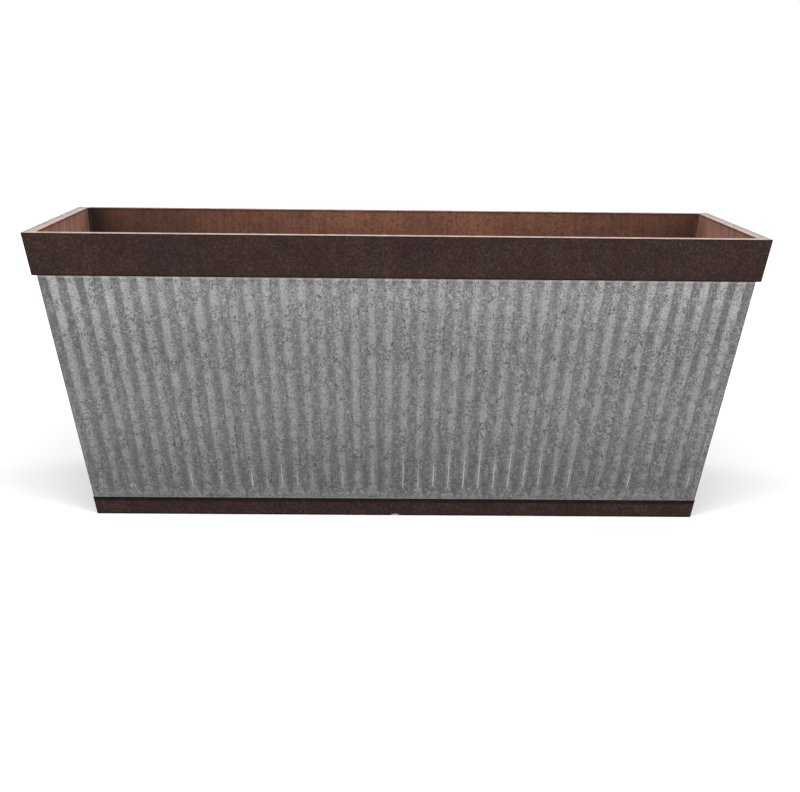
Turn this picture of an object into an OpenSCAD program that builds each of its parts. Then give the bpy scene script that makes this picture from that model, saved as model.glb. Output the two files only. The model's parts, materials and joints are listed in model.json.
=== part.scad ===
// Deck rail planter: a moulded tub that sits astride a deck rail, clad in ribbed sheet.
// Origin at the middle of the underside, X along the rail, front towards -Y.
// Every wall leans alike, so a wall's place is given as an inset from the rim's outer plane.

/* [Overall] */
// Length over the rim
planter_l = 610; // [560:5:900]
// Width over the rim
planter_w = 254; // [250:1:330]
// Height from the feet to the top of the rim
planter_h = 241; // [190:1:320]
// How far each end wall leans in from rim to foot
end_lean = 48; // [20:1:60]

/* [Rim] */
// Height of the rim band
rim_h = 35; // [25:1:50]
// Width of the rim's top face
rim_top_w = 10.4; // [9.4:0.2:14]
// Thickness of the rim's skirt
rim_wall = 1.5; // [1.2:0.1:2]
// Thickness of the rim's top over the tub's wall
rim_cap_t = 3; // [2:0.5:5]
// Radius of the rim's outer corners
rim_corner_r = 2.6; // [2.4:0.1:4]
// Catches under the tub's flange, on the front and on the rear of the rim
catches_long = 5; // [3:1:8]
// Catches under the tub's flange, on each end of the rim
catches_end = 3; // [2:1:4]
// Width of a catch
catch_w = 14; // [8:1:24]

/* [Cladding] */
// Ribs across the front and the rear panel
ribs_long = 40; // [20:2:50]
// Ribs across each end panel
ribs_end = 16; // [8:2:22]
// Depth of the ribs
rib_depth = 2; // [1:0.1:2.6]
// Share of a rib's pitch that each flank takes
flank_share = 0.18; // [0.08:0.01:0.22]
// Thickness of the sheet
sheet_t = 0.9; // [0.6:0.1:1.2]
// Plain strip beside each corner, at the top edge
corner_strip = 4.6; // [3:0.2:9]
// Plain strip along the foot of each panel
foot_strip = 8; // [5:0.5:16]
// Height over which the ribs run out above that strip
runout_h = 6; // [3:0.5:14]

/* [Tub] */
// Thickness of the tub's walls
tub_wall = 2.5; // [2:0.1:3]
// Radius of the tub's upright corners, on the inside
tub_corner_r = 4.5; // [3:0.5:8]
// Thickness of the trough floors
floor_t = 3; // [2:0.5:5]
// Thickness of the flange under the rim
flange_t = 2.5; // [2:0.5:4]
// Diameter of the drain holes
drain_d = 10; // [8:0.5:12]
// Distance between the two drain holes of a trough
drain_spacing = 260; // [160:5:300]

/* [Rail channel] */
// Width of the widest rail
rail_w_max = 140; // [130:1:144]
// Width of the narrowest rail that the brackets close on
rail_w_min = 89; // [86:1:110]
// How far the feet hang below the top of the rail
rail_drop = 40; // [34:1:55]
// Thickness of the channel's walls and roof
channel_wall = 3; // [2:0.5:4]
// Thickness of the rubber rail pads
pad_t = 5; // [4.8:0.2:8]
// Length of a rail pad along the rail
pad_l = 45; // [25:1:60]
// Distance of a rail pad from the mouth of the channel
pad_setback = 12; // [4:1:20]

/* [Rail brackets] */
// Thickness of the bracket steel
bracket_t = 2; // [1.5:0.1:2.5]
// Width of a bracket along the rail
bracket_w = 50; // [40:1:60]
// Height of a bracket's grip
bracket_drop = 32; // [20:1:33]
// Outer radius of the bend
bend_r = 4; // [3:0.5:5]
// Distance between the left and the right brackets, centre to centre
bracket_spacing = 300; // [200:5:320]
// Distance between the two slots of a bracket
slot_spacing = 28; // [20:1:30]

/* [Feet] */
// Width of each foot, from the channel's wall to the plane of the rim's outer face
foot_w = 31; // [28:1:45]
// Height of the foot band
foot_h = 15; // [11:1:22]
// How far the foot band stands proud of the panels' corners
foot_proud = 0.7; // [0.3:0.1:1.5]
// Radius of the foot band's outer corners
foot_corner_r = 2; // [0.5:0.1:2.2]
// Height of the foot band's lip behind the panels
foot_lip_h = 7; // [3:0.5:12]
// Thickness of that lip
foot_lip_t = 2.7; // [2:0.1:4]
// Height of the foot band's ledge above the ground
ledge_z = 3; // [2.6:0.2:5]
// Thickness of the ledge
ledge_t = 3; // [2:0.5:4]
// Width of the ledge under the tub
ledge_w = 11; // [9:0.5:13]
// Width of the drip notch in the foot band
notch_w = 8; // [4:0.5:16]
// Height of the drip notch
notch_h = 2; // [1:0.2:2.6]

/* [Drain plugs] */
// Diameter of a plug's head
plug_head_d = 14; // [13:0.5:16]
// Thickness of a plug's head
plug_head_t = 2; // [1.5:0.5:4]
// Height of a plug's finger tab
plug_tab_h = 9; // [6:0.5:14]

/* [Fasteners] */
// Diameter of the foot screws
small_screw_d = 3; // [2.5:0.1:3.4]
// Diameter of the bracket screws
large_screw_d = 4; // [3:0.5:4.5]

/* [Hidden] */
$fn = 48;

// Clearances
fit_gap = 0.2; // between a piece and its seat
skirt_gap = 0.4; // between the rib crests and the rim's skirt
seam_gap = 0.3; // between two panels at a corner
plug_gap = 0.3; // round a plug in its drain hole
slide_gap = 0.3; // above and below a bracket that slides
rail_play = 0.5; // beside a rail in the brackets
wall_gap = 0.5; // between an open bracket and the channel's wall
screw_gap = 0.1; // round a screw in its hole
slot_gap = 0.3; // beside a screw in a bracket's slot
catch_gap = 0.1; // between a catch and the flange over it
panel_gap = 0.6; // between a catch and the panel under it
pad_side_gap = 8.5; // between a rail pad and the channel's wall

// Insets of the walls from the rim's outer plane
crest_in = rim_wall + skirt_gap;
valley_in = crest_in + rib_depth;
sheet_in = valley_in + sheet_t;
tub_out_in = sheet_in + fit_gap;
tub_in_in = tub_out_in + tub_wall;
foot_out_in = valley_in - foot_proud;
foot_in_in = tub_out_in + foot_lip_t;
base_out_in = foot_in_in + fit_gap;
base_in_in = base_out_in + tub_wall;
ledge_in = foot_in_in + ledge_w;

// Radii of the corners behind the outer faces
skirt_in_r = rim_corner_r - rim_wall;
tub_out_r = tub_corner_r + tub_wall;
foot_in_r = tub_out_r + fit_gap;

// Screws
small_r = small_screw_d / 2;
large_r = large_screw_d / 2;
small_head_lap = 0.9; // how far a head reaches past its shank
large_head_lap = 1.8;
small_head_r = small_r + small_head_lap;
large_head_r = large_r + large_head_lap;
small_head_h = 1.8;
large_head_h = 1.8;
drive_w = 0.7; // width of the cross in a screw's head
drive_depth = 1;
foot_boss_wall = 2;
foot_boss_r = small_r + foot_boss_wall;
foot_boss_h = 7;
foot_boss_sunk = 1; // how far a foot boss runs into the wall beside it
foot_screw_in = base_in_in + foot_boss_r - foot_boss_sunk;
foot_screws_a_side = 4;
bracket_boss_wall = 2.5;
bracket_boss_r = large_r + bracket_boss_wall;
bracket_boss_h = 7;
boss_cap = 2; // what is left over a blind hole

// Catches that hold the rim down on the tub's flange
catch_h = 2.4;
catch_depth = 0.9; // how far a catch stands out of the skirt
catch_root = 0.7; // how deep it is sunk into the skirt

// Heights
cap_under_z = planter_h - rim_cap_t;
flange_under_z = cap_under_z - flange_t;
skirt_z = planter_h - rim_h;
catch_top_z = flange_under_z - catch_gap;
catch_foot_z = catch_top_z - catch_h;
panel_top_z = catch_foot_z - panel_gap;
strip_top_z = foot_h + foot_strip;
runout_top_z = strip_top_z + runout_h;
floor_under_z = ledge_z + ledge_t;
floor_top_z = floor_under_z + floor_t;
step_z = foot_h + foot_lip_h + fit_gap; // where the tub's wall steps in over the foot band's lip
roof_under_z = rail_drop + pad_t;
roof_top_z = roof_under_z + channel_wall;

// Rail channel
channel_y = rail_w_max / 2 + rail_play + bracket_t + wall_gap;
channel_out_y = channel_y + channel_wall;
bracket_travel = (rail_w_max - rail_w_min) / 2;
slot_r = large_r + slot_gap;
slot_from_bend = 1; // flat steel between a bracket's bend and its slots
slot_to_edge = 4.5; // steel between the slots and the leg's free edge
slot_start = bend_r + slot_from_bend + slot_r;
screw_reach = slot_start + bracket_travel;
leg_l = screw_reach + slot_r + slot_to_edge;
grip_corner_r = 6;
bracket_y = channel_y - wall_gap;
bracket_top_z = roof_under_z - slide_gap;
bracket_screw_y = bracket_y - screw_reach;
pad_w = 2 * (channel_y - pad_side_gap);
pad_corner_r = 6;

// How far the front and rear walls lean in from the rim to the feet
side_lean = planter_w / 2 - channel_out_y - foot_w;

// A slanted corner: how an end wall and a side wall face outwards, the edge between them,
// and the angle that a round corner turns through
function unit(v) = v / norm(v);
end_out = unit([planter_h, 0, -end_lean]);
side_out = unit([0, planter_h, -side_lean]);
edge_up = unit(cross(end_out, side_out));
corner_turn = acos(end_out * side_out);
corner_run = 3 * planter_h; // more than the length of any corner
corner_ease = 0.01; // how far a round corner crosses the planes of its walls

// Drain plugs
drain_r = drain_d / 2;
plug_head_r = plug_head_d / 2;
plug_below = 1.5; // how far a plug's shank shows under the floor
plug_chamfer = 0.6;
tab_t = 2.4;
tab_w = 9;
tab_rim = 2; // width of the tab's material round its eye

over = 1; // how far a cut runs past the face that it opens

tub_brown = [0.36, 0.24, 0.19];
rim_brown = [0.24, 0.18, 0.17];
galvanised = [0.55, 0.56, 0.55];
zinc = [0.72, 0.73, 0.75];
rubber_black = [0.1, 0.1, 0.1];

// Half length and half width of the rim's outer plane, carried down to height z
function half_l(z) = planter_l / 2 - end_lean * (planter_h - z) / planter_h;
function half_w(z) = planter_w / 2 - side_lean * (planter_h - z) / planter_h;

// Places along a side, as shares of its half length: n marks
function marks(n, reach) = [for (i = [0 : n - 1]) reach * (2 * i / (n - 1) - 1)];

catch_reach = 0.85;
foot_reach = 0.86;
foot_marks = marks(foot_screws_a_side, foot_reach);

// The drain holes lie midway between the channel's wall and the tub's wall
trough_out_y = half_w(floor_top_z) - base_in_in;
drain_y = (channel_out_y + trough_out_y) / 2;

// Profile of one rib as [share of the pitch, height]: a flat valley, a flank, a flat crest, a flank
valley_share = 0.5 - flank_share;
flank_lo = valley_share / 2;
function smooth(t) = t * t * (3 - 2 * t);
flank_steps = 3;
rise = [for (i = [0 : flank_steps]) [flank_lo + flank_share * i / flank_steps, smooth(i / flank_steps)]];
fall = [for (i = [flank_steps : -1 : 0]) [1 - rise[i][0], rise[i][1]]];

// Columns of a panel as [share of its width, height]: a corner, every rib's points, the other corner
function columns(n, edge) = concat(
    [[0, 0]],
    [for (k = [0 : n - 1], s = concat(rise, fall)) [edge + (k + s[0]) * (1 - 2 * edge) / n, s[1]]],
    [[1, 0]]
);

// Rows of a panel from the top down as [height, share of the rib depth left]; the ribs run out in a curve
runout_bend = 0.4;
runout_bend_depth = 0.75;
panel_rows = [
    [panel_top_z, 1],
    [runout_top_z, 1],
    [strip_top_z + runout_h * runout_bend, runout_bend_depth],
    [strip_top_z, 0]
];

// A block with leaning walls, inset from the rim's outer plane, between two heights, with sharp corners
module sharp_block(inset, z_lo, z_hi) {
    x_lo = half_l(z_lo) - inset;
    x_hi = half_l(z_hi) - inset;
    y_lo = half_w(z_lo) - inset;
    y_hi = half_w(z_hi) - inset;
    intersection() {
        rotate([90, 0, 0])
            linear_extrude(height = planter_w + 2 * over, center = true)
                polygon([[-x_lo, z_lo], [x_lo, z_lo], [x_hi, z_hi], [-x_hi, z_hi]]);
        rotate([90, 0, 90])
            linear_extrude(height = planter_l + 2 * over, center = true)
                polygon([[-y_lo, z_lo], [y_lo, z_lo], [y_hi, z_hi], [-y_hi, z_hi]]);
    }
}

// The same block with its four slanted corners rounded to r
module round_block(inset, z_lo, z_hi, r) {
    difference() {
        sharp_block(inset, z_lo, z_hi);
        for (flip_x = [0, 1], flip_y = [0, 1])
            mirror([flip_x, 0, 0])
                mirror([0, flip_y, 0])
                    corner_waste(inset, r);
    }
}

// What is cut away to round the corner of one end wall and one side wall
module corner_waste(inset, r) {
    reach = r + over;
    depth = (r - corner_ease) / (1 + end_out * side_out);
    axis = [half_l(0) - inset, half_w(0) - inset, 0] - depth * (end_out + side_out);
    across = cross(edge_up, end_out);
    multmatrix([
        [end_out[0], across[0], edge_up[0], axis[0]],
        [end_out[1], across[1], edge_up[1], axis[1]],
        [end_out[2], across[2], edge_up[2], axis[2]],
        [0, 0, 0, 1]
    ])
        linear_extrude(height = corner_run, center = true)
            difference() {
                polygon([
                    [0, 0],
                    [reach, 0],
                    [reach, reach * tan(corner_turn / 2)],
                    [reach * cos(corner_turn), reach * sin(corner_turn)]
                ]);
                circle(r = r);
            }
}

// A box through the whole length, as wide as |y| < half_y
module rail_box(half_y, z_lo, z_hi) {
    translate([-planter_l, -half_y, z_lo])
        cube([2 * planter_l, 2 * half_y, z_hi - z_lo]);
}

// A flat plate with rounded corners, centred
module plate(l, w, r) {
    square([l - 2 * r, w], center = true);
    square([l, w - 2 * r], center = true);
    for (x = [-1, 1], y = [-1, 1])
        translate([x * (l / 2 - r), y * (w / 2 - r)])
            circle(r = r);
}

// The upright opening inside the rim's top face, from z_lo up
module opening(z_lo) {
    translate([0, 0, z_lo])
        linear_extrude(height = planter_h + over - z_lo)
            plate(planter_l - 2 * rim_top_w, planter_w - 2 * rim_top_w, tub_corner_r);
}

// Places of the fasteners and drains, one child each
module at_foot_screws(sides) {
    for (side = sides, u = foot_marks)
        translate([u * half_l(0), side * (half_w(0) - foot_screw_in), 0])
            children();
}

module at_drains(sides) {
    for (side = sides, end = [-1, 1])
        translate([end * drain_spacing / 2, side * drain_y, 0])
            children();
}

module at_bracket_screws() {
    for (end = [-1, 1], side = [-1, 1], step = [-1, 1])
        translate([end * bracket_spacing / 2 + step * slot_spacing / 2, side * bracket_screw_y, 0])
            children();
}

module upright(r, z_lo, z_hi) {
    translate([0, 0, z_lo])
        cylinder(r = r, h = z_hi - z_lo);
}

module planting_tub() {
    color(tub_brown)
        difference() {
            union() {
                difference() {
                    union() {
                        round_block(base_out_in, floor_under_z, step_z + over, tub_out_r);
                        round_block(tub_out_in, step_z, cap_under_z, tub_out_r);
                        round_block(rim_wall + fit_gap, flange_under_z, cap_under_z, skirt_in_r);
                    }
                    tub_cavity();
                }
                intersection() {
                    sharp_block(crest_in, 0, roof_top_z);
                    rail_box(channel_out_y, 0, roof_top_z);
                }
                at_foot_screws([-1, 1])
                    upright(foot_boss_r, floor_under_z, floor_top_z + foot_boss_h);
                at_bracket_screws()
                    upright(bracket_boss_r, roof_under_z, roof_top_z + bracket_boss_h);
            }
            rail_box(channel_y, -over, roof_under_z);
            at_drains([-1, 1])
                upright(drain_r, -over, floor_top_z + over);
            at_foot_screws([-1, 1])
                upright(small_r + screw_gap, -over, floor_top_z + foot_boss_h - boss_cap);
            at_bracket_screws()
                upright(large_r + screw_gap, 0, roof_top_z + bracket_boss_h - boss_cap);
        }
}

// The tub's inside leans with its outside, steps in over the foot, and ends upright under the rim
module tub_cavity() {
    intersection() {
        union() {
            round_block(base_in_in, floor_top_z, step_z + tub_wall + over, tub_corner_r);
            round_block(tub_in_in, step_z + tub_wall, planter_h, tub_corner_r);
        }
        opening(0);
    }
}

module rim_band() {
    color(rim_brown) {
        difference() {
            round_block(0, skirt_z, planter_h, rim_corner_r);
            round_block(rim_wall, skirt_z - over, cap_under_z, skirt_in_r);
            opening(skirt_z);
        }
        catches();
    }
}

// Wedges inside the skirt that snap under the tub's flange
module catches() {
    for (turn = [0, 180])
        rotate([0, 0, turn]) {
            for (u = marks(catches_long, catch_reach))
                translate([u * half_l(catch_top_z), 0, 0])
                    rotate([90, 0, 90])
                        catch_wedge(half_w(catch_top_z) - rim_wall, half_w(catch_foot_z) - rim_wall);
            for (u = marks(catches_end, catch_reach))
                translate([0, u * half_w(catch_top_z), 0])
                    rotate([90, 0, 0])
                        catch_wedge(half_l(catch_top_z) - rim_wall, half_l(catch_foot_z) - rim_wall);
        }
}

// One wedge; skirt_hi and skirt_lo are the places of the skirt's inner face at its top and at its foot
module catch_wedge(skirt_hi, skirt_lo) {
    linear_extrude(height = catch_w, center = true)
        polygon([
            [skirt_hi - catch_depth, catch_top_z],
            [skirt_lo + catch_root, catch_foot_z],
            [skirt_hi + catch_root, catch_top_z]
        ]);
}

// A ribbed sheet that faces -Y; long is true for the front and rear, false for the ends
module ribbed_sheet(long) {
    function half_run(z) = (long ? half_l(z) : half_w(z)) - valley_in - seam_gap / 2;
    function away(z) = (long ? half_w(z) : half_l(z)) - valley_in;
    function point(z, u, out, inner) = [
        (2 * u - 1) * (half_run(z) - (inner && (u == 0 || u == 1) ? sheet_t : 0)),
        -(away(z) + rib_depth * out - (inner ? sheet_t : 0)),
        z
    ];
    function sheet_points(cols, inner) = concat(
        [for (row = panel_rows, c = cols) point(row[0], c[0], c[1] * row[1], inner)],
        [for (u = [0, 1]) point(foot_h, u, 0, inner)]
    );

    ribs = long ? ribs_long : ribs_end;
    cols = columns(ribs, corner_strip / (2 * half_run(panel_top_z)));
    rows = len(panel_rows);
    n = len(cols);
    // Each side of the sheet holds its rows from the top down, then its two foot corners
    side_n = rows * n + 2;
    function at(side, r, c) = side * side_n + (r < rows ? r * n + c : rows * n + (c > 0 ? 1 : 0));
    function split(a, b, c, d) = [[a, b, c], [a, c, d]];

    face_quads = [
        for (r = [0 : rows - 2], c = [0 : n - 2])
            each concat(
                split(at(0, r, c), at(0, r, c + 1), at(0, r + 1, c + 1), at(0, r + 1, c)),
                split(at(1, r, c), at(1, r + 1, c), at(1, r + 1, c + 1), at(1, r, c + 1))
            )
    ];
    strip_fans = [
        for (c = [0 : n - 2])
            each [
                [at(0, rows, 0), at(0, rows - 1, c), at(0, rows - 1, c + 1)],
                [at(1, rows, 0), at(1, rows - 1, c + 1), at(1, rows - 1, c)]
            ]
    ];
    strip_ends = [
        [at(0, rows, 0), at(0, rows - 1, n - 1), at(0, rows, n - 1)],
        [at(1, rows, 0), at(1, rows, n - 1), at(1, rows - 1, n - 1)]
    ];
    top_edge = [for (c = [0 : n - 2]) each split(at(1, 0, c), at(1, 0, c + 1), at(0, 0, c + 1), at(0, 0, c))];
    foot_edge = split(at(0, rows, 0), at(0, rows, n - 1), at(1, rows, n - 1), at(1, rows, 0));
    side_edges = [
        for (r = [0 : rows - 1])
            each concat(
                split(at(0, r, 0), at(0, r + 1, 0), at(1, r + 1, 0), at(1, r, 0)),
                split(at(1, r, n - 1), at(1, r + 1, n - 1), at(0, r + 1, n - 1), at(0, r, n - 1))
            )
    ];
    polyhedron(
        points = concat(sheet_points(cols, false), sheet_points(cols, true)),
        faces = concat(face_quads, strip_fans, strip_ends, top_edge, foot_edge, side_edges),
        convexity = 10
    );
}

module long_panel(turn) {
    color(galvanised)
        rotate([0, 0, turn])
            ribbed_sheet(true);
}

module end_panel(turn) {
    color(galvanised)
        difference() {
            rotate([0, 0, turn])
                ribbed_sheet(false);
            rail_box(channel_out_y + fit_gap, 0, roof_top_z + fit_gap);
        }
}

// One C-shaped band under the front of the tub
module foot_band() {
    notch_r = (notch_w * notch_w / 4 + notch_h * notch_h) / (2 * notch_h);
    color(rim_brown)
        difference() {
            intersection() {
                union() {
                    difference() {
                        union() {
                            round_block(foot_out_in, 0, foot_h, foot_corner_r);
                            sharp_block(tub_out_in, foot_h - over, foot_h + foot_lip_h);
                        }
                        round_block(foot_in_in, -over, planter_h, foot_in_r);
                    }
                    difference() {
                        sharp_block(foot_in_in - over, ledge_z, floor_under_z);
                        sharp_block(ledge_in, 0, planter_h);
                    }
                }
                translate([-planter_l, -planter_w, 0])
                    cube([2 * planter_l, planter_w - channel_out_y - fit_gap, planter_h]);
            }
            translate([0, 0, notch_h - notch_r])
                rotate([90, 0, 0])
                    cylinder(r = notch_r, h = planter_w);
            at_foot_screws([-1])
                upright(small_r + screw_gap, 0, floor_under_z + over);
            at_drains([-1])
                upright(drain_r + wall_gap, 0, floor_under_z + over);
        }
}

module rear_foot_band() {
    mirror([0, 1, 0])
        foot_band();
}

// A push-in plug with a finger tab
module drain_plug(end, side) {
    shank_r = drain_r - plug_gap;
    head_z = floor_top_z + plug_head_t;
    color(rubber_black)
        translate([end * drain_spacing / 2, side * drain_y, 0]) {
            rotate_extrude()
                polygon([
                    [0, floor_under_z - plug_below],
                    [shank_r - plug_chamfer, floor_under_z - plug_below],
                    [shank_r, floor_under_z - plug_below + plug_chamfer],
                    [shank_r, floor_top_z],
                    [plug_head_r, floor_top_z],
                    [plug_head_r, head_z - plug_chamfer],
                    [plug_head_r - plug_chamfer, head_z],
                    [0, head_z]
                ]);
            translate([0, 0, head_z])
                rotate([90, 0, 90])
                    linear_extrude(height = tab_t, center = true)
                        tab_outline();
        }
}

module tab_outline() {
    round_r = tab_w / 2;
    difference() {
        union() {
            translate([-round_r, -over / 2])
                square([tab_w, plug_tab_h - round_r + over / 2]);
            translate([0, plug_tab_h - round_r])
                circle(r = round_r);
        }
        translate([0, plug_tab_h - round_r])
            circle(r = round_r - tab_rim);
    }
}

// A slotted angle bracket, open to the widest rail
module rail_bracket(end, side) {
    color(zinc)
        translate([end * bracket_spacing / 2, side * bracket_y, bracket_top_z])
            rotate([0, 0, side > 0 ? 180 : 0])
                difference() {
                    rotate([90, 0, 90])
                        linear_extrude(height = bracket_w, center = true)
                            bracket_outline();
                    for (step = [-1, 1])
                        translate([step * slot_spacing / 2, 0, -bracket_t - over])
                            linear_extrude(height = bracket_t + 2 * over)
                                slot_outline();
                    for (step = [-1, 1])
                        grip_corner(step);
                }
}

// Section of a bracket: the leg along +X under the roof, the grip down at x = 0
module bracket_outline() {
    translate([bend_r, -bracket_t])
        square([leg_l - bend_r, bracket_t]);
    translate([0, -bracket_drop])
        square([bracket_t, bracket_drop - bend_r]);
    translate([bend_r, -bend_r])
        intersection() {
            difference() {
                circle(r = bend_r);
                circle(r = bend_r - bracket_t);
            }
            translate([-bend_r, 0])
                square(bend_r);
        }
}

module slot_outline() {
    translate([-slot_r, slot_start])
        square([2 * slot_r, bracket_travel]);
    for (y = [slot_start, screw_reach])
        translate([0, y])
            circle(r = slot_r);
}

// What is cut away to round one lower corner of the grip
module grip_corner(step) {
    r = grip_corner_r;
    translate([step * (bracket_w / 2 - r), -over, r - bracket_drop])
        rotate([-90, 0, 0])
            linear_extrude(height = bracket_t + 2 * over)
                difference() {
                    translate([step > 0 ? 0 : -r - over, 0])
                        square(r + over);
                    circle(r = r);
                }
}

// A rubber pad under the channel's roof
module rail_pad(end) {
    outer_x = half_l(roof_under_z) - crest_in - pad_setback;
    color(rubber_black)
        translate([end * (outer_x - pad_l / 2), 0, rail_drop])
            linear_extrude(height = pad_t)
                plate(pad_l, pad_w, pad_corner_r);
}

// A screw driven upwards: its head under z, its shank above
module screw(r, head_r, head_h, z, bite) {
    difference() {
        union() {
            upright(head_r, z - head_h, z);
            upright(r, z - over / 2, z + bite);
        }
        for (turn = [0, 90])
            rotate([0, 0, turn])
                translate([0, 0, z - head_h])
                    cube([head_r, drive_w, 2 * drive_depth], center = true);
    }
}

module foot_screws() {
    bite = ledge_t + floor_t + foot_boss_h - boss_cap - fit_gap;
    color(zinc)
        at_foot_screws([-1, 1])
            screw(small_r, small_head_r, small_head_h, ledge_z, bite);
}

module bracket_screws() {
    head_top_z = bracket_top_z - bracket_t - slide_gap;
    bite = roof_top_z + bracket_boss_h - boss_cap - fit_gap - head_top_z;
    color(zinc)
        at_bracket_screws()
            screw(large_r, large_head_r, large_head_h, head_top_z, bite);
}

planting_tub();
rim_band();
long_panel(0);  // front_panel
long_panel(180);  // rear_panel
end_panel(-90);  // left_end_panel
end_panel(90);  // right_end_panel
foot_band();  // front_foot_band
rear_foot_band();
drain_plug(-1, -1);  // drain_plug_front_left
drain_plug(1, -1);  // drain_plug_front_right
drain_plug(-1, 1);  // drain_plug_rear_left
drain_plug(1, 1);  // drain_plug_rear_right
rail_bracket(-1, -1);  // rail_bracket_front_left
rail_bracket(1, -1);  // rail_bracket_front_right
rail_bracket(-1, 1);  // rail_bracket_rear_left
rail_bracket(1, 1);  // rail_bracket_rear_right
rail_pad(-1);  // left_rail_pad
rail_pad(1);  // right_rail_pad
foot_screws();
bracket_screws();
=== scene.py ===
import json
import math
import random

import bmesh
import bpy
from bpy.props import FloatProperty, FloatVectorProperty, IntProperty, PointerProperty
from bpy.types import Operator, Panel, PropertyGroup
from mathutils import Matrix, Vector, noise

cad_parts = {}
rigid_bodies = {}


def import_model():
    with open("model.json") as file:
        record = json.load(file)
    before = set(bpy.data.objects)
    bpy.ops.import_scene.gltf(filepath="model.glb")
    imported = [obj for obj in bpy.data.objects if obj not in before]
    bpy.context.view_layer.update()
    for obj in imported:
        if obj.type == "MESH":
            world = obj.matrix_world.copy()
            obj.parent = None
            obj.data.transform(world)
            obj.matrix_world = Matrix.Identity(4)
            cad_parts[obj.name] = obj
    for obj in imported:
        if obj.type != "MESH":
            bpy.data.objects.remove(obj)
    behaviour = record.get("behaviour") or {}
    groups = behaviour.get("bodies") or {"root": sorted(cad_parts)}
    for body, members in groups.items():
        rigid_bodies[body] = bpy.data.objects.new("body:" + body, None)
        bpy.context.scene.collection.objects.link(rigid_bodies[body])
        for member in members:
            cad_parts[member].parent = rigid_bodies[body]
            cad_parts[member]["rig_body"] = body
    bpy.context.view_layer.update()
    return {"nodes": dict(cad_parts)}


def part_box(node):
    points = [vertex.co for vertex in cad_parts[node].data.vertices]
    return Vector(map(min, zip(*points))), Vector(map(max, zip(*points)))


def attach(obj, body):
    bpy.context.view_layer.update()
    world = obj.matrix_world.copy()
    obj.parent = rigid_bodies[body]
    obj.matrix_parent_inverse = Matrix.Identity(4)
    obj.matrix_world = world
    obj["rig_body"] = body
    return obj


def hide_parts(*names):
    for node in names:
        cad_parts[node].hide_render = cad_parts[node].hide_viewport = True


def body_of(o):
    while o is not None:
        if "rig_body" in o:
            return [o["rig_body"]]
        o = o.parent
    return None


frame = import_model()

bl_info = {
    "name": "Deck rail planter",
    "version": (1, 0, 0),
    "blender": (4, 5, 0),
    "location": "View3D > Sidebar > Planter",
    "description": "Dresses the deck rail planter: ribbed sheets, bands, tub, brackets and their finishes",
    "category": "Object",
}

RIM_LO, RIM_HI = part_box("rim_band")
PANEL_LO, PANEL_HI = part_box("front_panel")
HEIGHT = RIM_HI.z
FOOT_BAND_TOP = PANEL_LO.z
SEED = 11
# Angles between two faces: those that are one flat face, are rounded, and are shaded smooth
FLAT_BELOW = math.radians(0.6)
ROUNDED_ABOVE = math.radians(30)
SMOOTH_BELOW = math.radians(35)
SHEET_SMOOTH_BELOW = math.radians(50)


def srgb(red, green, blue):
    """A colour given as 0 to 255 on a screen, as the linear values that nodes take."""
    def linear(c):
        c /= 255
        return c / 12.92 if c <= 0.04045 else ((c + 0.055) / 1.055) ** 2.4
    return (linear(red), linear(green), linear(blue))


def length(name, description, default):
    return FloatProperty(
        name=name, description=description, default=default, unit="LENGTH", subtype="DISTANCE"
    )


def watts(name, description, default):
    return FloatProperty(name=name, description=description, default=default, min=0, unit="POWER")


def count_of(name, description, default):
    return IntProperty(name=name, description=description, default=default, min=2)


def colour(name, description, default):
    return FloatVectorProperty(
        name=name, description=description, default=default, subtype="COLOR", size=3, min=0, max=1
    )


class PlanterSizes(PropertyGroup):
    """Sizes of the pieces that are modelled here."""
    end_lean: length("End lean", "How far each end leans in from rim to foot", 0.048)
    side_lean: length("Side lean", "How far the front and rear lean in from rim to foot", 0.020)
    valley_inset: length("Valley inset", "From the rim's outer plane in to the valleys of the ribs", 0.0039)
    rib_depth: length("Rib depth", "Depth of the ribs", 0.002)
    sheet: length("Sheet", "Thickness of the sheet", 0.0009)
    seam: length("Seam", "Gap between two sheets at a corner", 0.0003)
    corner_strip: length("Corner strip", "Plain strip beside a corner, at the top edge", 0.0046)
    foot_strip: length("Foot strip", "Plain strip along the foot of a sheet", 0.008)
    runout: length("Run-out", "Height over which the ribs run out", 0.006)
    channel_half: length("Channel half width", "From the middle to the cut in the end sheets", 0.0762)
    channel_top: length("Channel height", "Height of the cut in the end sheets", 0.0482)
    ribs_long: count_of("Ribs, long sides", "Ribs on the front and on the rear", 40)
    ribs_end: count_of("Ribs, ends", "Ribs on each end", 16)
    band_edge: length("Band edge", "Rounding of the bands' edges", 0.0009)
    resin_edge: length("Resin edge", "Rounding of the tub's edges", 0.0012)
    steel_edge: length("Steel edge", "Rounding of the brackets' edges", 0.0003)
    rubber_edge: length("Rubber edge", "Rounding of the rubber parts' edges", 0.0006)


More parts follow.
